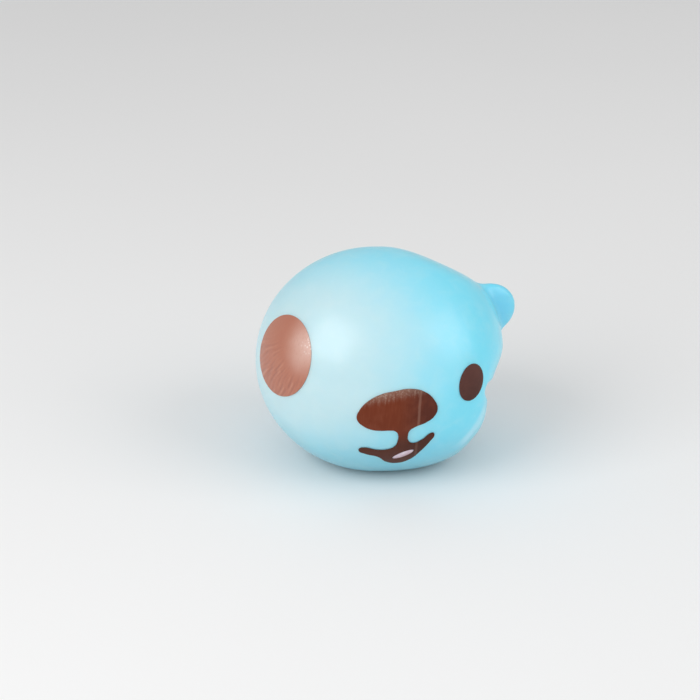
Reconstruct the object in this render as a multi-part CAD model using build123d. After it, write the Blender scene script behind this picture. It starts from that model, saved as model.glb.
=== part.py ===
"""A squeezable animal-head stress ball, as it stands just after a grip has pushed one cheek out.

A moulded rubber skin with two ears holds a soft dough filling. The filling goes in through a
neck in the base, which a barbed plug and a ring of cement close. The face is printed on the skin.

Millimetres. The origin is the centre of the flat base, +Z is up and the face looks along -Y.
Left and right are as seen by someone who faces the ball.
"""

import os
from math import cos, radians, sin

from build123d import *

# The ball: a body of revolution about the X axis, longer and squarer on the right.
REACH_LEFT = 27.1  # from the ball's centre to the cheek that the grip has swollen
REACH_RIGHT = 29.0  # from the centre to the side that the hand holds
RIGHT_FULLNESS = 2.45  # 2 would be an ellipse
GIRTH_RADIUS = 25.5
BASE_FLAT = 2.3  # how much the flat base takes off the round
CENTRE_HEIGHT = GIRTH_RADIUS - BASE_FLAT

# What the grip has pressed in: round-ended rods just outside the skin, which run from front to
# back. Each has a radius, a length, the angle at which it comes in, counted up from the right,
# how deep it presses into the round ball there, and how far back its middle lies.
GRIP_TILT = 25.0  # degrees that the rods fall towards the back
FINGER_RADIUS = 35.0
FINGER_LENGTH = 12.0
FINGER_ANGLE = 60.43
FINGER_PRESS = -0.04
FINGER_BACK = 4.03
THUMB_RADIUS = 20.0
THUMB_LENGTH = 28.0
THUMB_ANGLE = -15.15
THUMB_PRESS = 2.35
THUMB_BACK = -1.99
CREASE_RADIUS = 1.4
CREASE_LENGTH = 23.0
CREASE_ANGLE = -16.92
CREASE_DEPTH = 1.1  # that the skin's fold goes deeper than the thumb's dent
CREASE_BACK = -1.47

# The skin.
WALL = 1.8
WALL_CHEEK = 1.2  # stretched thin on the left
BASE_WALL = 2.4
EAR_HALF = (6.2, 2.3, 6.8)  # half its width, thickness and height
EAR_SUNK = 2.0  # from the skin's surface in to the ear's centre
RIGHT_EAR_TURN = 100.0  # degrees from the front round to the ear
RIGHT_EAR_RISE = 22.0
LEFT_EAR_TURN = -146.0
LEFT_EAR_RISE = 17.0

# The filling neck in the base, and its plug.
NECK_RADIUS = 3.2
NECK_TOP = 5.2  # above the base
RECESS_RADIUS = 6.4
RECESS_DEPTH = 1.5
BOSS_WALL = 1.6  # from the recess out to the boss's side
BOSS_RADIUS = RECESS_RADIUS + BOSS_WALL
CEMENT_WIDTH = 0.7  # the room that the recess leaves round the plug's head
CEMENT_SUNK = 0.7
PLUG_HEAD_RADIUS = RECESS_RADIUS - CEMENT_WIDTH
PLUG_SUNK = 0.4  # from the base's face in to the plug's head
BARB_GRIP = 1.2  # that the barb is wider than the neck, all round
BARB_RADIUS = NECK_RADIUS + BARB_GRIP
BARB_TAPER = 2.0
BARB_TIP_RADIUS = BARB_RADIUS - BARB_TAPER
BARB_LENGTH = 3.2

# Clearance round the filling, which moves on its own in a press.
FILLING_GAP = 0.1

# The printed face: the ink's thickness and the hair of air under it, then each print's size
# and place. A place is the turn from the front, the rise from level and the roll, in degrees.
INK = 0.15
INK_GAP = 0.05
LEFT_EYE_SIZE = (17.8, 18.0)  # width and height; the stretch has doubled it
LEFT_EYE_PLACE = (-56.0, 16.5, 15.0)
RIGHT_EYE_SIZE = (6.6, 8.3)
RIGHT_EYE_PLACE = (46.5, 7.2, -22.0)
MUZZLE_PLACE = (12.0, -12.0, 0.0)

# The nose, the mouth and the stem between them are one print, drawn here face on.
NOSE = (
    (-9.5, 2.8), (-6.0, 8.0), (1.2, 10.0), (6.6, 8.2),
    (7.8, 5.4), (5.0, 1.6), (-1.0, 0.2), (-6.7, 0.3),
)
STEM = (-0.4, 2.0, -6.5, 1.0)  # left, right, bottom and top
SMILE_LEFT = (-8.3, -6.8)
SMILE_RIGHT = (7.6, -1.9)
LOWER_LIP = ((-4.2, -8.9), (-1.8, -11.0), (0.7, -11.6), (3.0, -10.4), (5.2, -6.9))
UPPER_LIP = ((6.9, -1.2), (5.2, -3.1), (2.6, -4.6), (-2.0, -5.8), (-5.0, -6.1), (-7.4, -5.8))
TONGUE_SIZE = (5.0, 1.6)
TONGUE_CENTRE = (1.3, -7.9)
TONGUE_ROLL = 35.0
TONGUE_GAP = 0.1  # between the tongue's ink and the mouth's

FAR = 60.0  # past every face of the ball


def aim(turn, rise):
    """The direction that is turned from the front and raised from level by these angles."""
    level = cos(radians(rise))
    return Vector(sin(radians(turn)) * level, -cos(radians(turn)) * level, sin(radians(rise)))


def profile_point(across, reach, girth, fullness):
    """A point of the ball's outline, at this distance out along the X axis."""
    return across, girth * (1 - (across / reach) ** fullness) ** (1 / fullness)


def body(inset, cheek_inset):
    """The round body about the origin, inset from its outer surface."""
    left, right, girth = REACH_LEFT - cheek_inset, REACH_RIGHT - inset, GIRTH_RADIUS - inset
    shares = (0, 0.25, 0.5, 0.7, 0.86, 0.95, 1)
    points = [profile_point(share * right, right, girth, RIGHT_FULLNESS) for share in shares]
    outline = Line((-left, 0), (right, 0))
    outline += Spline(*points, tangents=((1, 0), (0, -1)))
    outline += EllipticalCenterArc((0, 0), left, girth, start_angle=90, arc_size=90)
    return revolve(make_face(outline), Axis.X)


def surface_distance(out):
    """How far the ball's surface is from its centre in this direction."""
    reach = REACH_RIGHT if out.X > 0 else REACH_LEFT
    fullness = RIGHT_FULLNESS if out.X > 0 else 2
    across = (out.Y**2 + out.Z**2) ** 0.5 / GIRTH_RADIUS
    return ((abs(out.X) / reach) ** fullness + across**fullness) ** (-1 / fullness)


def rod(radius, length, angle, press, back, inset):
    """A round-ended rod that presses on the ball, grown by the inset of the surface that it cuts."""
    tilt = radians(GRIP_TILT)
    along = Vector(0, cos(tilt), -sin(tilt))
    out = Vector(cos(radians(angle)), sin(radians(angle)) * sin(tilt), sin(radians(angle)) * cos(tilt))
    centre = out * (surface_distance(out) + radius - press) + along * back
    grown = radius + inset
    ends = Pos(0, 0, length / 2) * Sphere(grown) + Pos(0, 0, -length / 2) * Sphere(grown)
    return Pos(*centre) * Rot(90 - GRIP_TILT, 0, 0) * (Cylinder(grown, length) + ends)


def form(inset, cheek_inset, base):
    """The squeezed ball without its ears, set over the base and cut level at that height."""
    solid = body(inset, cheek_inset)
    crease_press = THUMB_PRESS + CREASE_DEPTH
    solid -= rod(FINGER_RADIUS, FINGER_LENGTH, FINGER_ANGLE, FINGER_PRESS, FINGER_BACK, inset)
    solid -= rod(THUMB_RADIUS, THUMB_LENGTH, THUMB_ANGLE, THUMB_PRESS, THUMB_BACK, inset)
    solid -= rod(CREASE_RADIUS, CREASE_LENGTH, CREASE_ANGLE, crease_press, CREASE_BACK, inset)
    above = Pos(0, 0, base + FAR) * Box(2 * FAR, 2 * FAR, 2 * FAR)
    return Pos(0, 0, CENTRE_HEIGHT) * solid & above


def ear(turn, rise):
    """A flat round lobe that stands out of the ball, its broad side to the front."""
    out = aim(turn, rise)
    centre = Vector(0, 0, CENTRE_HEIGHT) + out * (surface_distance(out) - EAR_SUNK)
    lean = abs(turn) - 90
    lean = lean if turn > 0 else -lean
    thickness = EAR_HALF[1]
    lobe = scale(Sphere(thickness), by=(EAR_HALF[0] / thickness, 1, EAR_HALF[2] / thickness))
    return Pos(*centre) * Rot(0, 0, lean) * lobe


def neck_boss(grow=0.0):
    """The thick ring inside the base, round the neck."""
    return extrude(Circle(BOSS_RADIUS + grow), NECK_TOP + grow)


def plug(grow=0.0):
    """The plug: a flat head in the recess, a stem in the neck and a barb inside the skin."""
    head = Pos(0, 0, PLUG_SUNK) * extrude(Circle(PLUG_HEAD_RADIUS), RECESS_DEPTH - PLUG_SUNK)
    stem = Pos(0, 0, RECESS_DEPTH) * extrude(Circle(NECK_RADIUS), NECK_TOP - RECESS_DEPTH)
    length = BARB_LENGTH + grow
    barb = Cone(BARB_RADIUS + grow, BARB_TIP_RADIUS + grow, length)
    return head + stem + Pos(0, 0, NECK_TOP + length / 2) * barb


def skin():
    """The moulded skin: a closed bag with two ears, a neck in its base and a recess below."""
    outer = form(0, 0, 0)
    outer += ear(RIGHT_EAR_TURN, RIGHT_EAR_RISE)
    outer += ear(LEFT_EAR_TURN, LEFT_EAR_RISE)
    hollow = form(WALL, WALL_CHEEK, BASE_WALL) - neck_boss()
    solid = outer - hollow
    solid -= extrude(Circle(RECESS_RADIUS), RECESS_DEPTH)
    return solid - extrude(Circle(NECK_RADIUS), NECK_TOP)


def filling():
    """The dough, a hair smaller than the space that the skin and the plug leave it."""
    gap = FILLING_GAP
    dough = form(WALL + gap, WALL_CHEEK + gap, BASE_WALL + gap)
    return dough - neck_boss(gap) - plug(gap)


def cement():
    """The ring of cement between the plug's head and the wall of its recess."""
    ring = Circle(RECESS_RADIUS) - Circle(PLUG_HEAD_RADIUS)
    return Pos(0, 0, CEMENT_SUNK) * extrude(ring, RECESS_DEPTH - CEMENT_SUNK)


def place(turn, rise, roll):
    """A drawing plane through the ball's centre that faces the print, with its X to the right."""
    plane = Plane(origin=(0, 0, CENTRE_HEIGHT), x_dir=aim(turn + 90, 0), z_dir=aim(turn, rise))
    return plane * Rot(0, 0, roll)


def ink(outline, spot):
    """A film of ink of this outline on the ball at this place."""
    film = body(-INK_GAP - INK, -INK_GAP - INK) - body(-INK_GAP, -INK_GAP)
    return Pos(0, 0, CENTRE_HEIGHT) * film & place(*spot) * extrude(outline, FAR)


def oval(size):
    """A flat ellipse of this width and height."""
    return Ellipse(size[0] / 2, size[1] / 2)


def tongue_outline(grow=0.0):
    """The tongue on the muzzle's drawing plane."""
    size = (TONGUE_SIZE[0] + 2 * grow, TONGUE_SIZE[1] + 2 * grow)
    return Pos(*TONGUE_CENTRE) * Rot(0, 0, TONGUE_ROLL) * oval(size)


def muzzle_outline():
    """The nose, the stem and an open smile that leaves the tongue bare."""
    nose = make_face(Spline(*NOSE, periodic=True))
    left, right, bottom, top = STEM
    stem = Pos((left + right) / 2, (bottom + top) / 2) * Rectangle(right - left, top - bottom)
    lower_lip = Spline(SMILE_LEFT, *LOWER_LIP, SMILE_RIGHT)
    upper_lip = Spline(SMILE_RIGHT, *UPPER_LIP, SMILE_LEFT)
    smile = make_face(lower_lip + upper_lip)
    return nose + stem + smile - tongue_outline(TONGUE_GAP)


def main():
    os.makedirs("parts", exist_ok=True)
    nodes = {
        "skin": skin(),
        "filling": filling(),
        "fill_plug": plug(),
        "plug_cement": cement(),
        "left_eye_print": ink(oval(LEFT_EYE_SIZE), LEFT_EYE_PLACE),
        "right_eye_print": ink(oval(RIGHT_EYE_SIZE), RIGHT_EYE_PLACE),
        "muzzle_print": ink(muzzle_outline(), MUZZLE_PLACE),
        "tongue_print": ink(tongue_outline(), MUZZLE_PLACE),
    }
    for name, solid in nodes.items():
        export_step(solid, f"parts/{name}.step")
        print(name, len(solid.solids()), solid.is_valid, round(solid.volume, 1))


main()
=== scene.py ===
"""Builds a squeezable animal-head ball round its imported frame: skin, filling, plug and printed face."""

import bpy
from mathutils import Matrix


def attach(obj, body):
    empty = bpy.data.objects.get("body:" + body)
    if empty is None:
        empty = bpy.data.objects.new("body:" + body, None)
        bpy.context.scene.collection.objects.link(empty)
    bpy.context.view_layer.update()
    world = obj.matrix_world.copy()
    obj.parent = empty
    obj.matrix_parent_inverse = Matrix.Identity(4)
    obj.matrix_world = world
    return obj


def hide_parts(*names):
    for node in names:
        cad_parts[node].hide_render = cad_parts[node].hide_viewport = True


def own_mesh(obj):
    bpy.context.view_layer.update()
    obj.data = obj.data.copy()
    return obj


bl_info = {
    "name": "Squeeze Ball",
    "version": (1, 0, 0),
    "blender": (4, 5, 0),
    "location": "View3D > Sidebar > Squeeze Ball",
    "description": "Builds a dough-filled rubber animal head, as a grip leaves it",
    "category": "Add Mesh",
}

from math import cos, pi, radians, sin

import bmesh
import bpy
import numpy as np
from bpy.props import FloatProperty, FloatVectorProperty, PointerProperty
from mathutils import Matrix, Vector

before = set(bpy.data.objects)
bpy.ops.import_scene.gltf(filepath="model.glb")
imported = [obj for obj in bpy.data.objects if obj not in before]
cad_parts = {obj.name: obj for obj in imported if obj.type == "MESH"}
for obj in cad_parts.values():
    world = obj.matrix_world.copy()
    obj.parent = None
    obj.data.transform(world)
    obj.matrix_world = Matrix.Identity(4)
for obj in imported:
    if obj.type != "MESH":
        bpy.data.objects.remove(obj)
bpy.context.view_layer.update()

MM = 0.001

# The height that each body's slide is counted from, and how flat the ball gets.
CENTRE_HEIGHT = 0.0232

# What the grip has pressed in: round-ended rods that fall towards the back. Each has its place
# across and up from the ball's centre, its two ends along itself, its radius, and how softly the
# skin rounds into its dent.
GRIP_TILT = 25.0
GRIP = (
    (0.0308, 0.0543, -0.002, 0.010, 0.035, 0.006),  # the index finger
    (0.04263, -0.01076, -0.016, 0.012, 0.01767, 0.0025),  # the thumb
    (0.04865, -0.03457, -0.006, 0.010, 0.030, 0.004),  # the palm
    (0.02633, -0.00702, -0.0140, 0.010, 0.00229, 0.0007),  # the fold beside the thumb
)
BASE_BLEND = 0.0016  # how softly the round body turns into its flat base
EAR_BLEND = 0.0014  # and into an ear

FILLING_GAP = 0.0001  # between the skin and the dough

# Where the ears and the prints lie, as seen from the ball's centre: the turn from the front, the
# rise from level and, for a print, the roll, in degrees.
RIGHT_EAR = (100.0, 22.0)
LEFT_EAR = (-146.0, 17.0)
LEFT_EYE = (-56.0, 16.5, 15.0)
RIGHT_EYE = (46.5, 7.2, -22.0)
MUZZLE = (12.0, -12.0, 0.0)
TONGUE_CENTRE = (0.0013, -0.0079, 0.0)  # on the muzzle's drawing plane
TONGUE_ROLL = 35.0
TONGUE_GAP = 0.0002  # that the mouth's print leaves along and across the tongue

# A surface is looked for between these distances from the centre, by halving what lies between.
NEAREST = 0.008
FURTHEST = 0.045
HALVINGS = 34

# A print's edge is cut by a bar of this length with an oval or a drawn section.
BAR_LENGTH = 0.05
OVAL_SIDES = 160

# Outlines that are turned about the vertical axis: radius and height, in millimetres.
TURN_STEPS = 72
BOSS = ((0, -1), (8.0, -1), (8.0, 4.8), (7.6, 5.2), (0, 5.2))
NECK = ((0, -1), (6.4, -1), (6.4, 1.5), (3.2, 1.5), (3.2, 6), (0, 6))
PLUG_ROOM = ((0, 1), (8.1, 1), (8.1, 4.9), (7.7, 5.3), (4.6, 5.3), (4.5, 5.4), (2.5, 8.6), (0, 8.6))
PLUG = (
    (0, 0.7), (1.2, 0.7), (1.5, 0.5), (4.6, 0.45), (5.3, 0.5), (5.65, 0.75), (5.7, 1.0), (5.7, 1.49),
    (3.19, 1.49), (3.19, 5.21), (4.2, 5.21), (4.4, 5.45), (4.3, 5.8), (2.6, 8.0), (2.2, 8.2), (0, 8.2),
)  # fmt: skip
CEMENT = ((5.72, 0.75), (5.9, 0.95), (6.15, 1.0), (6.39, 0.7), (6.39, 1.49), (5.72, 1.49))

# The left eye's creases fan out from a point above its upper right, on a plane that faces it,
# and fade out towards its top. The rubber is stretched smooth round a spot near its right edge,
# where the ink also has a painted highlight and painted glints.
CREASE_FAN = (-0.0136, -0.0225, 0.0425)
CREASE_ACROSS = (0.559, -0.829, 0.0)
CREASE_TOP = 0.036
CREASE_FADE = 0.008
CREASE_RELIEF = 0.000022
CREASE_LIFT = 1.5  # added to the wave, so that the relief is never below zero
FAINTEST = 0.05  # share of the relief that is left where the ink is smooth
GLOSSY_SPOT = (-0.0146, -0.0182, 0.0348)
SMOOTH_RADIUS = 6.0  # millimetres from the spot to the first creases
CREASED_RADIUS = 10.0  # and to the full ones

# Where the skin changes colour: the swollen cheek's middle and half sizes in millimetres, a painted
# highlight strip beside the fold, with the directions across and along it, and the foot of the right
# ear, round which shade is painted.
CHEEK_MIDDLE = (-16, -16, 31.5)
CHEEK_HALF = (28, 20, 23)
HIGHLIGHT_STRIP_MIDDLE = (0.0220, -0.0167, 0.0143)
HIGHLIGHT_STRIP_ACROSS = (0.442, 0.798, -0.409)
HIGHLIGHT_STRIP_ALONG = (0.558, 0.112, 0.822)
SHADED_EAR_FOOT = (0.0295, 0.0050, 0.0350)

# The stage: how far the floor lies below the base, so that they don't share a plane, how far left
# and up of the ball's centre the camera aims, and each light's direction, distance and side.
FLOOR_DROP = 0.0001
AIM_LEFT = 0.00568
AIM_UP = 0.00199
KEY_LIGHT = ((-0.62, -0.52, 0.58), 0.60, 0.42)
FILL_LIGHT = ((0.75, -0.35, 0.55), 0.70, 0.50)

# The nose, the stem and the open smile are one print: its outline in millimetres, face on.
MUZZLE_OUTLINE = (
    (-9.4, 2.8), (-8.9, 4.5), (-7.3, 6.7), (-4.5, 8.5), (-1.6, 9.3), (2.3, 9.8), (5.3, 8.9),
    (7.3, 6.9), (8.0, 4.9), (7.3, 3.1), (5.4, 1.7), (3.2, 0.8), (2.0, -0.2), (1.7, -1.6), (1.9, -3.0),
    (2.9, -4.0), (5.0, -3.1), (6.5, -1.6), (7.3, -1.4), (7.7, -2.2), (6.9, -3.9), (5.1, -7.0),
    (3.1, -10.1), (0.7, -11.6), (-1.8, -11.1), (-4.1, -8.9), (-7.0, -7.9), (-8.3, -7.2),
    (-8.3, -6.2), (-7.2, -5.7), (-4.8, -6.2), (-2.5, -6.1), (-0.9, -5.0), (-0.4, -3.2),
    (-0.5, -1.2), (-1.1, -0.3), (-2.4, -0.1), (-4.2, -0.2), (-6.3, 0.0), (-8.0, 0.8), (-9.0, 1.7),
)  # fmt: skip


def length_property(name, description, value):
    """A size that is shown as a length."""
    return FloatProperty(
        name=name, description=description, default=value, min=0.0,
        unit="LENGTH", subtype="DISTANCE", precision=5,
    )  # fmt: skip


def colour_property(name, description, value):
    """A linear colour."""
    return FloatVectorProperty(
        name=name, description=description, default=value, size=3, min=0.0, max=1.0, subtype="COLOR"
    )


class FormSettings(bpy.types.PropertyGroup):
    """The sizes of the squeezed ball."""

    reach_left: length_property("Left reach", "From the centre to the swollen cheek", 0.0271)
    reach_right: length_property("Right reach", "From the centre to the side a hand holds", 0.0290)
    girth: length_property("Girth radius", "The ball's radius round its long axis", 0.0255)
    fullness: FloatProperty(
        name="Right fullness", description="2 is an ellipse, more is squarer", default=2.45
    )
    wall: length_property("Wall", "Thickness of the skin", 0.0018)
    cheek_wall: length_property("Cheek wall", "Thickness where the skin is stretched", 0.0012)
    base_wall: length_property("Base wall", "Thickness of the skin under the filling", 0.0024)
    ear_width: length_property("Ear width", "Across an ear's broad side", 0.0124)
    ear_thickness: length_property("Ear thickness", "Through an ear from front to back", 0.0046)
    ear_height: length_property("Ear height", "An ear's length, its sunk half included", 0.0136)
    ear_sunk: length_property("Ear sunk", "From the skin's surface in to the ear's middle", 0.0020)
    voxel: length_property("Skin detail", "Side of a facet of the skin", 0.00045)


class PrintSettings(bpy.types.PropertyGroup):
    """The sizes of the printed face."""

    ink: length_property("Ink", "Thickness of a print", 0.00013)
    ink_gap: length_property("Ink gap", "Hair of air under a print", 0.00005)
    left_eye_width: length_property("Left eye width", "Across the stretched print", 0.0178)
    left_eye_height: length_property("Left eye height", "Up the stretched print", 0.0180)
    right_eye_width: length_property("Right eye width", "Across the print", 0.0066)
    right_eye_height: length_property("Right eye height", "Up the print", 0.0083)
    tongue_length: length_property("Tongue length", "Along the tongue", 0.0050)
    tongue_width: length_property("Tongue width", "Across the tongue", 0.0016)


class LookSettings(bpy.types.PropertyGroup):
    """The colours of the rubber, the inks and the dough."""

    pale_skin: colour_property("Pale skin", "The rubber where it is stretched", (0.52, 0.75, 0.825))
    deep_skin: colour_property("Deep skin", "The rubber where it is thick", (0.18, 0.74, 0.98))
    # Painted shade: the skin's darker colour towards the base, where less light reaches it.
    low_painted_shade: colour_property("Low skin", "The rubber towards the base", (0.17, 0.48, 0.57))
    stretched_ink: colour_property("Stretched ink", "The left eye's ink", (0.415, 0.148, 0.092))
    # Painted highlight: the left eye's paler colour round its glossy spot.
    painted_highlight_ink: colour_property("Worn ink", "The left eye where the ink is thinnest", (0.70, 0.46, 0.39))
    muzzle_ink: colour_property("Muzzle ink", "The nose and the mouth", (0.152, 0.027, 0.008))
    dark_ink: colour_property("Dark ink", "The right eye", (0.066, 0.020, 0.014))
    tongue_ink: colour_property("Tongue ink", "The tongue", (0.68, 0.50, 0.60))
    dough: colour_property("Dough", "The filling", (0.80, 0.79, 0.74))


class StageSettings(bpy.types.PropertyGroup):
    """The camera and the lights."""

    elevation: FloatProperty(
        name="Elevation", description="How far the camera looks down", default=radians(25), subtype="ANGLE"
    )
    distance: length_property("Distance", "From the camera to the ball", 0.442)
    lens: FloatProperty(name="Lens", description="Focal length in millimetres", default=100.0)
    key_power: FloatProperty(
        name="Key power", description="Power of the light on the left", default=1.7, unit="POWER"
    )
    fill_power: FloatProperty(
        name="Fill power", description="Power of the light on the right", default=1.5, unit="POWER"
    )
    sky: FloatProperty(
        name="Sky", description="Strength of the even light from all round", default=0.58
    )


# --- The form -----------------------------------------------------------------------------


def smooth_max(first, second, blend):
    """The greater of two fields, rounded where they meet."""
    near = np.maximum(blend - np.abs(first - second), 0) / blend
    return np.maximum(first, second) + near * near * blend / 4


def smooth_min(first, second, blend):
    """The lesser of two fields, rounded where they meet."""
    return -smooth_max(-first, -second, blend)


def toward(turn, rise):
    """The direction that is turned from the front and raised from level by these degrees."""
    level = cos(radians(rise))
    return np.array([sin(radians(turn)) * level, -cos(radians(turn)) * level, sin(radians(rise))])


def rod_distance(points, across, height, near, far, radius):
    """Distance to a round-ended rod that falls from front to back by the grip's tilt.

    The rod is placed in the plane square to it, and runs from near to far along it.
    """
    tilt = radians(GRIP_TILT)
    along = np.array([0, cos(tilt), -sin(tilt)])
    upward = np.array([0, sin(tilt), cos(tilt)])
    middle = np.array([across, 0, 0]) + upward * height
    offset = points - middle
    share = np.clip(offset @ along, near, far)
    return np.linalg.norm(offset - share[:, None] * along, axis=1) - radius


class Form:
    """The squeezed ball as a field: near zero on its surface and positive outside, in metres."""

    def __init__(self, sizes):
        self.sizes = sizes
        self.centre = np.array([0, 0, CENTRE_HEIGHT])
        self.ears = [self.place_ear(*RIGHT_EAR), self.place_ear(*LEFT_EAR)]

    def round_body(self, spots):
        """The round body, from points counted from its centre."""
        sizes = self.sizes
        ring = np.hypot(spots[:, 1], spots[:, 2]) / sizes.girth
        right = spots[:, 0] > 0
        power = np.where(right, sizes.fullness, 2.0)
        out = np.abs(spots[:, 0]) / np.where(right, sizes.reach_right, sizes.reach_left)
        share = (out**power + ring**power) ** (1 / power)
        length = np.linalg.norm(spots, axis=1)
        return length * (1 - 1 / np.maximum(share, 1e-6))

    def pressed_body(self, points, base):
        """The round body with the grip's dents, level at the base's height."""
        spots = points - self.centre
        body = self.round_body(spots)
        for *rod, blend in GRIP:
            body = smooth_max(body, -rod_distance(spots, *rod), blend)
        return smooth_max(body, base - points[:, 2], BASE_BLEND)

    def place_ear(self, turn, rise):
        """The middle and the axes of an ear that points in this direction."""
        out = toward(turn, rise)
        reach = np.linspace(0.015, 0.035, 400)
        field = self.round_body(out * reach[:, None])
        middle = out * (reach[np.argmax(field > 0)] - self.sizes.ear_sunk)
        side = toward(turn + (90 if turn < 0 else -90), 0)
        across = np.cross(side, out)
        return middle, np.array([across, side, out])

    def ear(self, points, middle, axes):
        """About how far the points are from one ear, a flat oval lobe."""
        sizes = self.sizes
        half = np.array([sizes.ear_width, sizes.ear_thickness, sizes.ear_height]) / 2
        local = (points - self.centre - middle) @ axes.T
        share = np.linalg.norm(local / half, axis=1)
        steep = np.linalg.norm(local / half**2, axis=1)
        return share * (share - 1) / np.maximum(steep, 1e-6)

    def surface(self, points):
        """The whole outside: the pressed body and both ears."""
        body = self.pressed_body(points, 0.0)
        for middle, axes in self.ears:
            body = smooth_min(body, self.ear(points, middle, axes), EAR_BLEND)
        return body

    def without_ears(self, points):
        """The outside of the pressed body alone."""
        return self.pressed_body(points, 0.0)

    def inside(self, points, gap=0.0):
        """The skin's inner wall, or what lies this gap within it."""
        sizes = self.sizes
        left = np.clip(-points[:, 0] / sizes.reach_left, 0, 1)
        wall = sizes.wall + (sizes.cheek_wall - sizes.wall) * left
        return self.pressed_body(points, sizes.base_wall) + wall + gap


def settle(field, directions, centre, level=0.0):
    """The points in these directions from the centre where the field reaches the level."""
    low = np.full(len(directions), NEAREST)
    high = np.full(len(directions), FURTHEST)
    for _ in range(HALVINGS):
        middle = (low + high) / 2
        outside = field(centre + directions * middle[:, None]) > level
        high = np.where(outside, middle, high)
        low = np.where(outside, low, middle)
    return centre + directions * ((low + high) / 2)[:, None]


def draw_on(field, points, rounds=4):
    """Moves points square to the surface until they lie on it."""
    step = 2e-5
    for _ in range(rounds):
        slope = np.stack(
            [
                (field(points + step * axis) - field(points - step * axis)) / (2 * step)
                for axis in np.eye(3)
            ],
            axis=1,
        )
        steep = np.maximum((slope**2).sum(axis=1), 1e-3)
        points = points - (field(points) / steep)[:, None] * slope
    return points


# --- Mesh helpers -------------------------------------------------------------------------


def read_points(mesh):
    """A mesh's points as an array."""
    flat = np.empty(len(mesh.vertices) * 3)
    mesh.vertices.foreach_get("co", flat)
    return flat.reshape(-1, 3)


def write_points(mesh, points):
    """Puts an array of points back into the mesh."""
    mesh.vertices.foreach_set("co", np.ascontiguousarray(points).ravel())
    mesh.update()


def place_mesh(name, work):
    """A new object made from a bmesh, at the origin."""
    mesh = bpy.data.meshes.new(name)
    work.to_mesh(mesh)
    work.free()
    piece = bpy.data.objects.new(name, mesh)
    bpy.context.scene.collection.objects.link(piece)
    return piece


def apply_modifier(piece, kind, **settings):
    """Adds one modifier to the piece and bakes it into its mesh."""
    modifier = piece.modifiers.new(kind.title(), kind)
    for key, value in settings.items():
        setattr(modifier, key, value)
    graph = bpy.context.evaluated_depsgraph_get()
    graph.update()
    old = piece.data
    piece.data = bpy.data.meshes.new_from_object(piece.evaluated_get(graph))
    piece.modifiers.clear()
    piece.data.name = piece.name
    bpy.data.meshes.remove(old)


def combine(piece, other, operation):
    """Joins, cuts or trims the piece by another one, which is used up."""
    apply_modifier(piece, "BOOLEAN", object=other, operation=operation, solver="EXACT")
    mesh = other.data
    bpy.data.objects.remove(other)
    bpy.data.meshes.remove(mesh)


def globe(name, field, centre, fineness):
    """A closed mesh on a field's surface, from a ball of triangles."""
    work = bmesh.new()
    bmesh.ops.create_icosphere(work, subdivisions=fineness, radius=1.0)
    piece = place_mesh(name, work)
    directions = read_points(piece.data)
    directions /= np.linalg.norm(directions, axis=1)[:, None]
    write_points(piece.data, settle(field, directions, centre))
    return piece


def turned(name, outline, ring=False):
    """A closed solid of revolution about the vertical axis, from its outline in millimetres.

    A ring's outline stays clear of the axis and is closed by a last edge.
    """
    work = bmesh.new()
    points = [work.verts.new((radius * MM, 0, height * MM)) for radius, height in outline]
    ends = points[1:] + points[:1] if ring else points[1:]
    edges = [work.edges.new(pair) for pair in zip(points, ends)]
    bmesh.ops.spin(
        work, geom=points + edges, cent=(0, 0, 0), axis=(0, 0, 1), angle=2 * pi, steps=TURN_STEPS,
        use_merge=True,
    )  # fmt: skip
    bmesh.ops.remove_doubles(work, verts=work.verts, dist=1e-7)
    bmesh.ops.recalc_face_normals(work, faces=work.faces)
    return place_mesh(name, work)


def shade(piece, angle=40.0):
    """Smooths the shading of all but the sharp edges."""
    mesh = piece.data
    mesh.shade_smooth()
    mesh.set_sharp_from_angle(angle=radians(angle))


def tidy_mesh(piece):
    """Removes slivers that a cut leaves, and splits faces of many sides."""
    work = bmesh.new()
    work.from_mesh(piece.data)
    bmesh.ops.dissolve_degenerate(work, dist=1e-7, edges=work.edges)
    bmesh.ops.triangulate(work, faces=[face for face in work.faces if len(face.verts) > 4])
    work.to_mesh(piece.data)
    work.free()


def finish_piece(piece, body, nodes, material):
    """Gives the piece its material, its body and its share of the squeeze."""
    piece.data.materials.clear()
    piece.data.materials.append(material)
    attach(piece, body)
    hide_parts(*nodes)
    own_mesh(piece)


# --- Prints -------------------------------------------------------------------------------


def print_matrix(turn, rise, roll):
    """The drawing plane through the ball's centre that faces a print."""
    out = Vector(toward(turn, rise))
    across = Vector(toward(turn + 90, 0))
    upward = out.cross(across)
    facing = Matrix((across, upward, out)).transposed().to_4x4()
    rolled = Matrix.Rotation(radians(roll), 4, "Z")
    return Matrix.Translation((0, 0, CENTRE_HEIGHT)) @ facing @ rolled


def oval_prism(name, width, height, matrix):
    """A long oval bar that stands on a drawing plane."""
    work = bmesh.new()
    made = bmesh.ops.create_circle(work, cap_ends=True, segments=OVAL_SIDES, radius=0.5)
    bmesh.ops.scale(work, vec=(width, height, 1), verts=made["verts"])
    raise_prism(work, matrix)
    return place_mesh(name, work)


def raise_prism(work, matrix):
    """Raises flat faces into a closed bar and sets it on its drawing plane."""
    made = bmesh.ops.extrude_face_region(work, geom=work.faces[:])
    top = [item for item in made["geom"] if isinstance(item, bmesh.types.BMVert)]
    bmesh.ops.translate(work, vec=(0, 0, BAR_LENGTH), verts=top)
    bmesh.ops.recalc_face_normals(work, faces=work.faces)
    bmesh.ops.transform(work, matrix=matrix, verts=work.verts)


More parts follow.
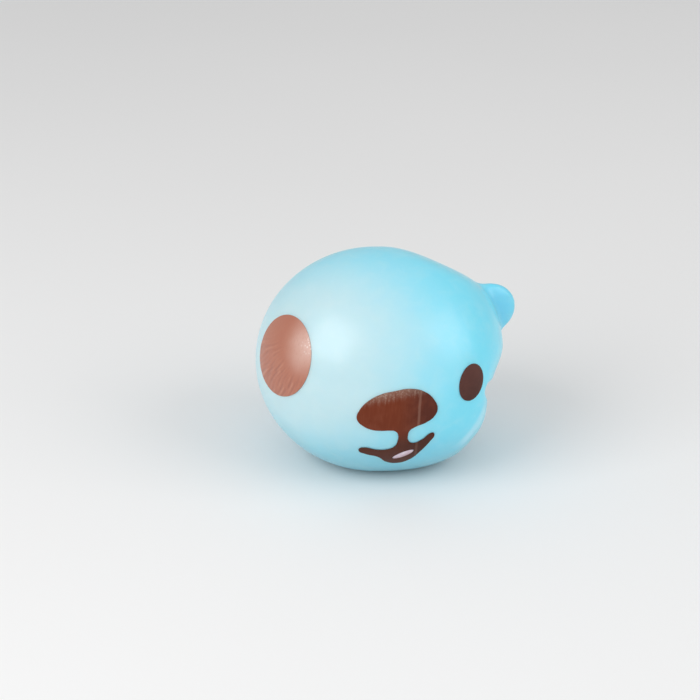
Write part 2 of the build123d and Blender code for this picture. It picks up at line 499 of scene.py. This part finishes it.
def outline_prism(name, outline, matrix):
    """A long bar whose section is a smooth closed line through these points."""
    curve = bpy.data.curves.new(name, "CURVE")
    curve.dimensions = "2D"
    curve.fill_mode = "NONE"
    spline = curve.splines.new("BEZIER")
    spline.bezier_points.add(len(outline) - 1)
    for point, (across, height) in zip(spline.bezier_points, outline):
        point.co = (across * MM, height * MM, 0)
        point.handle_left_type = point.handle_right_type = "AUTO"
    spline.use_cyclic_u = True
    spline.resolution_u = 8
    holder = bpy.data.objects.new(name, curve)
    bpy.context.scene.collection.objects.link(holder)
    bpy.context.view_layer.update()
    mesh = bpy.data.meshes.new_from_object(holder)
    work = bmesh.new()
    work.from_mesh(mesh)
    bmesh.ops.remove_doubles(work, verts=work.verts, dist=1e-6)
    bmesh.ops.contextual_create(work, geom=work.edges[:])
    raise_prism(work, matrix)
    bpy.data.objects.remove(holder)
    bpy.data.curves.remove(curve)
    bpy.data.meshes.remove(mesh)
    return place_mesh(name, work)


def crease_wave(turn, away, sine):
    """Uneven creases across a fan, from the turn and the millimetres away from its centre."""
    broad = sine(turn * 78.0 + sine(away * 0.55 + turn * 9.0) * 1.8)
    narrow = sine(turn * 131.0 - sine(away * 0.80 + turn * 17.0) * 1.5)
    return broad * (sine(turn * 23.0 + away * 0.45) * 0.45 + 0.55) + narrow * 0.5


def creases(points):
    """How far the stretched ink stands up in creases that fan out down and to the left."""
    offset = (points - np.array(CREASE_FAN)) / MM
    across = offset @ np.array(CREASE_ACROSS)
    wave = crease_wave(np.arctan2(offset[:, 2], across), np.hypot(across, offset[:, 2]), np.sin)
    smooth = np.linalg.norm(points - np.array(GLOSSY_SPOT), axis=1) / MM
    rough = np.clip((smooth - SMOOTH_RADIUS) / (CREASED_RADIUS - SMOOTH_RADIUS), FAINTEST, 1)
    low = np.clip((CREASE_TOP - points[:, 2]) / CREASE_FADE, FAINTEST, 1)
    return CREASE_RELIEF * (rough * low) * (CREASE_LIFT + wave)


def film(name, form, sizes, matrix, spread, relief=None):
    """A thin closed patch over the ball, out to this many degrees from the print's direction."""
    work = bmesh.new()
    bmesh.ops.create_icosphere(work, subdivisions=7, radius=1.0)
    out = (matrix.to_3x3() @ Vector((0, 0, 1))).normalized()
    beyond = [vert for vert in work.verts if vert.co.angle(out) > radians(spread)]
    bmesh.ops.delete(work, geom=beyond, context="VERTS")
    patch = place_mesh(name, work)
    directions = read_points(patch.data)
    directions /= np.linalg.norm(directions, axis=1)[:, None]
    level = sizes.ink_gap + sizes.ink
    points = settle(form.without_ears, directions, form.centre, level)
    if relief is not None:
        points += directions * relief(points)[:, None]
    write_points(patch.data, points)
    work = bmesh.new()
    work.from_mesh(patch.data)
    bmesh.ops.recalc_face_normals(work, faces=work.faces)
    bmesh.ops.solidify(work, geom=work.faces[:], thickness=sizes.ink)
    bmesh.ops.recalc_face_normals(work, faces=work.faces)
    work.to_mesh(patch.data)
    work.free()
    return patch


# --- Materials ----------------------------------------------------------------------------


class Field:
    """A socket whose value Python's operators work on, each adding its Math node."""

    def __init__(self, finish, socket):
        self.finish = finish
        self.socket = socket

    def math(self, operation, *values):
        """One Math node on these values."""
        return self.finish.node("ShaderNodeMath", {"operation": operation}, dict(enumerate(values)))

    def __add__(self, other):
        return self.math("ADD", self, other)

    def __radd__(self, other):
        return self.math("ADD", other, self)

    def __sub__(self, other):
        return self.math("SUBTRACT", self, other)

    def __rsub__(self, other):
        return self.math("SUBTRACT", other, self)

    def __mul__(self, other):
        return self.math("MULTIPLY", self, other)

    def __rmul__(self, other):
        return self.math("MULTIPLY", other, self)

    def __pow__(self, other):
        return self.math("POWER", self, other)

    def __abs__(self):
        return self.math("ABSOLUTE", self)


class Finish:
    """One material, built node by node."""

    def __init__(self, name):
        self.material = bpy.data.materials.new(name)
        self.material.use_nodes = True
        self.tree = self.material.node_tree
        self.shader = self.tree.nodes["Principled BSDF"]

    def node(self, kind, settings=None, inputs=None, output=0):
        """A node of this kind, its settings made first and then its sockets filled or linked."""
        made = self.tree.nodes.new(kind)
        for key, value in (settings or {}).items():
            setattr(made, key, value)
        for key, value in (inputs or {}).items():
            self.fill(made.inputs[key], value)
        return Field(self, made.outputs[output])

    def fill(self, socket, value):
        """Links a field to the socket, or sets the socket to a value."""
        if isinstance(value, Field):
            self.tree.links.new(value.socket, socket)
        elif isinstance(value, (tuple, list)) or hasattr(value, "r"):
            socket.default_value = tuple(value) + (1.0,) * (len(socket.default_value) - len(value))
        else:
            socket.default_value = value

    def set(self, **values):
        """Fills the shader's own sockets, named with underscores for spaces."""
        for key, value in values.items():
            self.fill(self.shader.inputs[key.replace("_", " ")], value)

    def coordinates(self):
        """Object coordinates."""
        return self.node("ShaderNodeTexCoord", output="Object")

    def part(self, vector, axis):
        """One of a vector's three numbers."""
        return self.node("ShaderNodeSeparateXYZ", {}, {0: vector}, axis)

    def placed(self, vector, scale, location=(0, 0, 0)):
        """The vector, scaled and then moved."""
        values = {"Vector": vector, "Location": location, "Scale": scale}
        return self.node("ShaderNodeMapping", {}, values)

    def counted_from(self, vector, place):
        """The vector, counted from this place."""
        return self.node("ShaderNodeVectorMath", {"operation": "SUBTRACT"}, {0: vector, 1: place})

    def measure(self, operation, first, second=(0, 0, 0)):
        """The number that one Vector Math node makes of these vectors."""
        values = {0: first, 1: second}
        return self.node("ShaderNodeVectorMath", {"operation": operation}, values, "Value")

    def noise(self, vector, scale, detail=2.0, roughness=0.5, distortion=0.0):
        """Cloudy noise."""
        values = {
            "Vector": vector, "Scale": scale, "Detail": detail, "Roughness": roughness,
            "Distortion": distortion,
        }  # fmt: skip
        return self.node("ShaderNodeTexNoise", {}, values)

    def cells(self, vector, scale):
        """Distance to the nearest of many scattered points."""
        values = {"Vector": vector, "Scale": scale}
        return self.node("ShaderNodeTexVoronoi", {}, values, "Distance")

    def ramp(self, value, low, high, from_value=0.0, to_value=1.0):
        """A smooth step of the value between two limits."""
        values = {0: value, 1: low, 2: high, 3: from_value, 4: to_value}
        return self.node("ShaderNodeMapRange", {"interpolation_type": "SMOOTHSTEP"}, values)

    def mix(self, share, first, second):
        """A mix of two colours."""
        values = {"Factor": share, 6: first, 7: second}
        return self.node("ShaderNodeMix", {"data_type": "RGBA"}, values, 2)

    def bump(self, height, strength, distance, normal=None):
        """A bumpy normal."""
        values = {"Height": height, "Strength": strength, "Distance": distance}
        if normal is not None:
            values["Normal"] = normal
        return self.node("ShaderNodeBump", {}, values)


def skin_finish(look):
    """Translucent rubber: milky where it is stretched, deep blue where it is thick; painted shade darkens
    its base and the right ear's foot, and a painted highlight lies beside the fold.
    """
    finish = Finish("skin_rubber")
    spot = finish.coordinates()
    height = finish.part(spot, 2)
    cloud = finish.noise(spot, 90.0, 3.0, 0.55)
    bulge = finish.placed(
        spot,
        scale=[1 / (half * MM) for half in CHEEK_HALF],
        location=[-middle / half for middle, half in zip(CHEEK_MIDDLE, CHEEK_HALF)],
    )
    away = finish.measure("LENGTH", bulge)
    stretch = finish.ramp(away + (cloud - 0.5) * 0.25, 0.50, 1.50)
    colour = finish.mix(stretch, look.pale_skin, look.deep_skin)
    # Painted shade: the rubber is darkened towards the base.
    low = finish.ramp(height + (cloud - 0.5) * 0.004, 0.018, 0.001)
    colour = finish.mix(low * 0.75, colour, look.low_painted_shade)
    dough = finish.ramp(finish.noise(spot, 260.0, 4.0, 0.6, 0.4), 0.42, 0.72)
    colour = finish.mix(dough * 0.07, colour, (0.80, 0.88, 0.90))
    specks = finish.ramp(finish.cells(spot, 900.0), 0.10, 0.04)
    colour = finish.mix(specks * 0.10, colour, (0.75, 0.86, 0.90))
    # Painted highlight: a pale strip along the lobe's edge beside the fold.
    offset = finish.counted_from(spot, HIGHLIGHT_STRIP_MIDDLE)
    beside = finish.measure("DOT_PRODUCT", offset, HIGHLIGHT_STRIP_ACROSS)
    along = finish.measure("DOT_PRODUCT", offset, HIGHLIGHT_STRIP_ALONG)
    painted_highlight_strip = finish.ramp(abs(beside), 0.0024, 0.0005) * finish.ramp(abs(along), 0.0072, 0.0030)
    colour = finish.mix(painted_highlight_strip * 0.55, colour, (0.52, 0.84, 1.0))
    # Painted shade: the skin darkens round the right ear's foot, where the ear meets the head.
    to_shaded_ear_foot = finish.measure("DISTANCE", spot, SHADED_EAR_FOOT)
    colour = finish.mix(finish.ramp(to_shaded_ear_foot, 0.0080, 0.0040) * 0.45, colour, (0.17, 0.56, 0.74))
    grain = finish.noise(spot, 2600.0, 3.0, 0.6)
    ripple = finish.noise(spot, 160.0, 2.0, 0.5)
    normal = finish.bump(ripple, 0.10, 0.0006)
    normal = finish.bump(grain, 0.05, 0.0001, normal)
    rough = finish.ramp(finish.noise(spot, 320.0, 4.0, 0.6), 0.3, 0.7, 0.30, 0.38)
    finish.set(
        Base_Color=colour, Roughness=rough, Normal=normal, Subsurface_Weight=0.35, Subsurface_Scale=0.004,
        Subsurface_Radius=(0.5, 0.8, 1.0), IOR=1.48, Coat_Weight=0.35, Coat_Roughness=0.22,
        Sheen_Weight=0.10, Sheen_Roughness=0.35, Sheen_Tint=(0.85, 0.97, 1.0),
    )  # fmt: skip
    return finish.material


def left_eye_finish(look):
    """Ink stretched thin: smooth at its right, with a painted highlight there, and a fan of fine creases
    lower down with painted shade in their furrows and painted highlight on their ridges.
    """
    finish = Finish("brown_ink")
    spot = finish.coordinates()
    height = finish.part(spot, 2)
    blotch = finish.noise(spot, 170.0, 2.0, 0.5)
    hairs = finish.noise(finish.placed(spot, scale=(1.0, 1.0, 0.12)), 2600.0, 2.0, 0.6)
    offset = finish.counted_from(spot, CREASE_FAN)
    across = finish.measure("DOT_PRODUCT", offset, CREASE_ACROSS)
    rise = finish.part(offset, 2)
    turn = rise.math("ARCTAN2", rise, across)
    away = (across**2.0 + rise**2.0) ** 0.5 * (1 / MM)
    fine = finish.noise(spot, 700.0, 3.0, 0.6)
    wave = crease_wave(turn, away, lambda value: value.math("SINE", value))
    uneven = wave + (fine - 0.5) * 2.6
    to_gloss = finish.measure("DISTANCE", spot, GLOSSY_SPOT)
    creased = finish.ramp(to_gloss, SMOOTH_RADIUS * MM, CREASED_RADIUS * MM)
    share = creased * finish.ramp(height, CREASE_TOP, CREASE_TOP - CREASE_FADE)
    # Painted highlight: the ink is paler round the glossy spot, where the light is reflected.
    lit = finish.ramp(to_gloss + (blotch - 0.5) * 0.004, 0.0085, 0.0005)
    colour = finish.mix(finish.ramp(blotch, 0.35, 0.7) * 0.35, look.stretched_ink, (0.46, 0.190, 0.120))
    colour = finish.mix(lit * 0.85, colour, look.painted_highlight_ink)
    # Painted shade in the creases' furrows and painted highlight on their ridges, following the relief's
    # wave.
    painted_furrow_shade = finish.ramp(uneven, 0.10, -1.20)
    colour = finish.mix(painted_furrow_shade * share * 0.70, colour, (0.33, 0.120, 0.078))
    painted_ridge_highlight = finish.ramp(uneven, 0.40, 1.40)
    colour = finish.mix(painted_ridge_highlight * share * 0.38, colour, (0.58, 0.28, 0.19))
    colour = finish.mix(finish.ramp(hairs, 0.5, 0.7) * 0.15, colour, (0.36, 0.14, 0.10))
    # Painted glints: small bright specks near the glossy spot.
    glints = finish.ramp(finish.cells(spot, 1500.0), 0.42, 0.20) * finish.ramp(to_gloss, 0.0026, 0.0008)
    colour = finish.mix(glints * 0.45, colour, (0.88, 0.82, 0.80))
    normal = finish.bump(wave * share, 0.35, 0.00008)
    normal = finish.bump(hairs, 0.12, 0.0002, normal)
    finish.set(
        Base_Color=colour, Roughness=0.33, Normal=normal, Specular_IOR_Level=0.45,
        Coat_Weight=0.25, Coat_Roughness=0.22,
    )  # fmt: skip
    return finish.material


def muzzle_finish(look):
    """Reddish brown ink with fine upright streaks, worn along its upper edge and scratched once."""
    finish = Finish("red_brown_ink")
    spot = finish.coordinates()
    across = finish.part(spot, 0)
    height = finish.part(spot, 2)
    streaks = finish.noise(finish.placed(spot, scale=(1.0, 0.2, 0.10)), 2600.0, 3.0, 0.6)
    blotch = finish.noise(spot, 260.0, 3.0, 0.5)
    colour = finish.mix(finish.ramp(streaks, 0.42, 0.80) * 0.5, look.muzzle_ink, (0.215, 0.052, 0.022))
    colour = finish.mix(finish.ramp(across, 0.0040, 0.0105) * 0.75, colour, (0.070, 0.017, 0.011))
    colour = finish.mix(finish.ramp(blotch, 0.50, 0.72) * 0.35, colour, (0.20, 0.050, 0.024))
    edge = height - across * 0.2 + (streaks - 0.5) * 0.003
    worn = finish.ramp(edge, 0.0238, 0.0266)
    flecks = finish.ramp(finish.noise(spot, 2300.0, 3.0, 0.7), 0.46, 0.64)
    colour = finish.mix(worn * (0.35 + flecks * 0.50), colour, (0.36, 0.25, 0.20))
    low = finish.ramp(height, 0.0175, 0.0135)
    colour = finish.mix(low * 0.7, colour, (0.058, 0.016, 0.007))
    wander = (finish.noise(spot, 500.0, 2.0, 0.5) - 0.5) * 0.0004
    beside = abs(across - 0.0096 + (0.0277 - height) * 0.05 + wander)
    scratch = finish.ramp(beside, 0.00042, 0.00010) * finish.ramp(height, 0.0275, 0.0268)
    faded = finish.ramp(height, 0.0150, 0.0200, 0.5)
    colour = finish.mix(scratch * 0.34 * faded, colour, (0.34, 0.18, 0.13))
    normal = finish.bump(streaks, 0.18, 0.00015)
    normal = finish.bump(scratch, 0.4, -0.00008, normal)
    finish.set(Base_Color=colour, Roughness=0.42, Normal=normal, Specular_IOR_Level=0.16)
    return finish.material


def right_eye_finish(look):
    """Dark ink, at its full thickness."""
    finish = Finish("dark_ink")
    spot = finish.coordinates()
    blotch = finish.noise(spot, 420.0, 4.0, 0.6)
    colour = finish.mix(finish.ramp(blotch, 0.35, 0.75), look.dark_ink, (0.092, 0.030, 0.021))
    # Painted highlight: the dark ink is lighter towards its top, where the light from above falls.
    high = finish.ramp(finish.part(spot, 2), 0.0235, 0.0300)
    colour = finish.mix(high * 0.6, colour, (0.105, 0.036, 0.028))
    grain = finish.noise(spot, 3400.0, 3.0, 0.6)
    normal = finish.bump(grain, 0.2, 0.0001)
    finish.set(Base_Color=colour, Roughness=0.40, Normal=normal, Specular_IOR_Level=0.22)
    return finish.material


def tongue_finish(look):
    """Glossy pale pink ink."""
    finish = Finish("pink_ink")
    spot = finish.coordinates()
    blotch = finish.noise(spot, 900.0, 3.0, 0.5)
    colour = finish.mix(finish.ramp(blotch, 0.3, 0.7), look.tongue_ink, (0.80, 0.68, 0.76))
    foot = finish.part(spot, 2) - finish.part(spot, 0) * 0.55
    colour = finish.mix(finish.ramp(foot, 0.0074, 0.0062) * 0.6, colour, (0.38, 0.19, 0.20))
    normal = finish.bump(blotch, 0.15, 0.0001)
    finish.set(Base_Color=colour, Roughness=0.30, Normal=normal, Coat_Weight=0.3)
    return finish.material


def dough_finish(look):
    """Soft white dough."""
    finish = Finish("dough")
    spot = finish.coordinates()
    lumps = finish.noise(spot, 220.0, 5.0, 0.6)
    colour = finish.mix(finish.ramp(lumps, 0.3, 0.7), look.dough, (0.72, 0.70, 0.63))
    finish.set(
        Base_Color=colour, Roughness=0.75, Normal=finish.bump(lumps, 0.5, 0.0008),
        Subsurface_Weight=0.2, Subsurface_Scale=0.003,
    )  # fmt: skip
    return finish.material


def plug_finish():
    """The plug's rubber, a little greyer than the skin."""
    finish = Finish("plug_rubber")
    spot = finish.coordinates()
    cloud = finish.noise(spot, 500.0, 4.0, 0.6)
    colour = finish.mix(finish.ramp(cloud, 0.3, 0.7), (0.22, 0.55, 0.66), (0.32, 0.62, 0.70))
    grain = finish.noise(spot, 3000.0, 3.0, 0.6)
    finish.set(Base_Color=colour, Roughness=0.5, Normal=finish.bump(grain, 0.2, 0.0001))
    return finish.material


def cement_finish():
    """Cured clear cement, a little wavy."""
    finish = Finish("cement")
    spot = finish.coordinates()
    wave = finish.noise(spot, 700.0, 3.0, 0.5)
    colour = finish.mix(finish.ramp(wave, 0.35, 0.65), (0.50, 0.66, 0.68), (0.66, 0.76, 0.76))
    normal = finish.bump(wave, 0.5, 0.0003)
    finish.set(Base_Color=colour, Roughness=0.22, Normal=normal, Coat_Weight=0.4)
    return finish.material


def floor_finish():
    """The plain pale floor."""
    finish = Finish("stage_floor")
    spot = finish.coordinates()
    cloud = finish.noise(spot, 3.0, 3.0, 0.5)
    colour = finish.mix(finish.ramp(cloud, 0.3, 0.7), (0.86, 0.86, 0.86), (0.88, 0.88, 0.88))
    finish.set(Base_Color=colour, Roughness=0.8)
    return finish.material


# --- Operators ----------------------------------------------------------------------------


class BALL_OT_skin(bpy.types.Operator):
    """Add the moulded skin: a closed bag with two ears and a filling neck in its base"""

    bl_idname = "ball.skin"
    bl_label = "Skin"

    def execute(self, context):
        ball = context.scene.squeeze_ball
        form = Form(ball.form)
        skin = globe("skin_visual", form.surface, form.centre, 6)
        apply_modifier(skin, "REMESH", mode="VOXEL", voxel_size=ball.form.voxel, use_smooth_shade=True)
        points = read_points(skin.data)
        write_points(skin.data, draw_on(form.surface, points))
        hollow = globe("hollow", form.inside, form.centre, 5)
        combine(hollow, turned("boss", BOSS), "DIFFERENCE")
        combine(hollow, turned("neck", NECK), "UNION")
        combine(skin, hollow, "DIFFERENCE")
        tidy_mesh(skin)
        shade(skin)
        finish_piece(skin, "shell", ["skin"], skin_finish(ball.look))
        return {"FINISHED"}


class BALL_OT_filling(bpy.types.Operator):
    """Add the dough that fills the skin, moulded round the plug"""

    bl_idname = "ball.filling"
    bl_label = "Filling"

    def execute(self, context):
        ball = context.scene.squeeze_ball
        form = Form(ball.form)
        dough = globe("filling_visual", lambda points: form.inside(points, FILLING_GAP), form.centre, 6)
        combine(dough, turned("hole", PLUG_ROOM), "DIFFERENCE")
        tidy_mesh(dough)
        shade(dough)
        finish_piece(dough, "core", ["filling"], dough_finish(ball.look))
        return {"FINISHED"}


class BALL_OT_plug(bpy.types.Operator):
    """Add the barbed plug and the ring of cement round its head"""

    bl_idname = "ball.plug"
    bl_label = "Plug and cement"

    def execute(self, context):
        plug = turned("plug_visual", PLUG)
        shade(plug, 30)
        finish_piece(plug, "shell", ["fill_plug"], plug_finish())
        cement = turned("cement_visual", CEMENT, ring=True)
        shade(cement, 50)
        finish_piece(cement, "shell", ["plug_cement"], cement_finish())
        return {"FINISHED"}


class BALL_OT_eyes(bpy.types.Operator):
    """Add the two eye prints, the left one stretched by the swollen cheek"""

    bl_idname = "ball.eyes"
    bl_label = "Eye prints"

    def execute(self, context):
        ball = context.scene.squeeze_ball
        form = Form(ball.form)
        sizes = ball.prints
        left = print_matrix(*LEFT_EYE)
        eye = film("left_eye_visual", form, sizes, left, 42.0, creases)
        oval = oval_prism("oval", sizes.left_eye_width, sizes.left_eye_height, left)
        combine(eye, oval, "INTERSECT")
        tidy_mesh(eye)
        shade(eye)
        finish_piece(eye, "left_eye", ["left_eye_print"], left_eye_finish(ball.look))
        right = print_matrix(*RIGHT_EYE)
        eye = film("right_eye_visual", form, sizes, right, 20.0)
        oval = oval_prism("oval", sizes.right_eye_width, sizes.right_eye_height, right)
        combine(eye, oval, "INTERSECT")
        tidy_mesh(eye)
        shade(eye)
        finish_piece(eye, "right_eye", ["right_eye_print"], right_eye_finish(ball.look))
        return {"FINISHED"}


class BALL_OT_muzzle(bpy.types.Operator):
    """Add the print of the nose and the mouth, and the tongue's print"""

    bl_idname = "ball.muzzle"
    bl_label = "Muzzle and tongue prints"

    def execute(self, context):
        ball = context.scene.squeeze_ball
        form = Form(ball.form)
        sizes = ball.prints
        facing = print_matrix(*MUZZLE)
        tongue_roll = Matrix.Rotation(radians(TONGUE_ROLL), 4, "Z")
        tongue_place = facing @ Matrix.Translation(TONGUE_CENTRE) @ tongue_roll
        muzzle = film("muzzle_visual", form, sizes, facing, 36.0)
        combine(muzzle, outline_prism("outline", MUZZLE_OUTLINE, facing), "INTERSECT")
        length, width = sizes.tongue_length + TONGUE_GAP, sizes.tongue_width + TONGUE_GAP
        combine(muzzle, oval_prism("hole", length, width, tongue_place), "DIFFERENCE")
        tidy_mesh(muzzle)
        shade(muzzle)
        finish_piece(muzzle, "muzzle", ["muzzle_print"], muzzle_finish(ball.look))
        tongue = film("tongue_visual", form, sizes, facing, 36.0)
        oval = oval_prism("oval", sizes.tongue_length, sizes.tongue_width, tongue_place)
        combine(tongue, oval, "INTERSECT")
        tidy_mesh(tongue)
        shade(tongue)
        finish_piece(tongue, "muzzle", ["tongue_print"], tongue_finish(ball.look))
        return {"FINISHED"}


class BALL_OT_stage(bpy.types.Operator):
    """Add the floor, the camera, the lights and the even light from all round"""

    bl_idname = "ball.stage"
    bl_label = "Stage"

    def execute(self, context):
        stage = context.scene.squeeze_ball.stage
        work = bmesh.new()
        bmesh.ops.create_grid(work, x_segments=8, y_segments=8, size=3.0)
        bmesh.ops.translate(work, vec=(0, 0, -FLOOR_DROP), verts=work.verts)
        floor = place_mesh("stage_floor", work)
        floor.data.materials.append(floor_finish())
        self.add_camera(context, stage)
        self.add_light(context, "key_light", KEY_LIGHT, stage.key_power)
        self.add_light(context, "fill_light", FILL_LIGHT, stage.fill_power)
        world = bpy.data.worlds.new("pale_room")
        context.scene.world = world
        world.use_nodes = True
        sky = world.node_tree.nodes["Background"]
        sky.inputs["Color"].default_value = (1, 1, 1, 1)
        sky.inputs["Strength"].default_value = stage.sky
        context.scene.view_settings.view_transform = "Standard"
        return {"FINISHED"}

    def add_camera(self, context, stage):
        """The camera looks down at the face, with the ball a little right of the middle."""
        camera = bpy.data.cameras.new("camera")
        camera.lens = stage.lens
        camera.sensor_width = 36.0
        holder = bpy.data.objects.new("camera", camera)
        context.scene.collection.objects.link(holder)
        back = Vector((0, -cos(stage.elevation), sin(stage.elevation)))
        upward = Vector((0, sin(stage.elevation), cos(stage.elevation)))
        target = Vector((-AIM_LEFT, 0, CENTRE_HEIGHT)) + upward * AIM_UP
        holder.location = target + back * stage.distance
        holder.rotation_euler = (-back).to_track_quat("-Z", "Y").to_euler()
        context.scene.camera = holder

    def add_light(self, context, name, place, power):
        """A large square light that faces the ball from its direction and distance."""
        direction, distance, side = Vector(place[0]), place[1], place[2]
        light = bpy.data.lights.new(name, "AREA")
        light.shape = "SQUARE"
        light.size = side
        light.energy = power
        holder = bpy.data.objects.new(name, light)
        context.scene.collection.objects.link(holder)
        holder.location = Vector((0, 0, CENTRE_HEIGHT)) + direction.normalized() * distance
        holder.rotation_euler = (-direction).to_track_quat("-Z", "Y").to_euler()


class BallSettings(bpy.types.PropertyGroup):
    """All the ball's settings."""

    form: PointerProperty(type=FormSettings, name="Form", description="Sizes of the ball")
    prints: PointerProperty(type=PrintSettings, name="Prints", description="Sizes of the printed face")
    look: PointerProperty(type=LookSettings, name="Look", description="Colours")
    stage: PointerProperty(type=StageSettings, name="Stage", description="Camera and lights")


PIECES = (BALL_OT_skin, BALL_OT_filling, BALL_OT_plug, BALL_OT_eyes, BALL_OT_muzzle, BALL_OT_stage)
GROUPS = ("form", "prints", "look", "stage")


class BALL_PT_panel(bpy.types.Panel):
    """The ball's panel in the 3D view's sidebar"""

    bl_idname = "BALL_PT_panel"
    bl_label = "Squeeze Ball"
    bl_space_type = "VIEW_3D"
    bl_region_type = "UI"
    bl_category = "Squeeze Ball"

    def draw(self, context):
        layout = self.layout
        ball = context.scene.squeeze_ball
        for name in GROUPS:
            box = layout.box()
            box.label(text=name.title())
            group = getattr(ball, name)
            for key in group.bl_rna.properties.keys():
                if key not in {"rna_type", "name"}:
                    box.prop(group, key)
        for piece in PIECES:
            layout.operator(piece.bl_idname)


CLASSES = (FormSettings, PrintSettings, LookSettings, StageSettings, BallSettings, *PIECES, BALL_PT_panel)


def register():
    """Makes the settings, the operators and the panel known to Blender."""
    for item in CLASSES:
        bpy.utils.register_class(item)
    bpy.types.Scene.squeeze_ball = PointerProperty(type=BallSettings)


def unregister():
    """Takes them away again."""
    del bpy.types.Scene.squeeze_ball
    for item in reversed(CLASSES):
        bpy.utils.unregister_class(item)


def main():
    """Builds the stage and every piece."""
    register()
    bpy.ops.ball.stage()
    bpy.ops.ball.skin()
    bpy.ops.ball.filling()
    bpy.ops.ball.plug()
    bpy.ops.ball.eyes()
    bpy.ops.ball.muzzle()


if __name__ == "__main__":
    main()
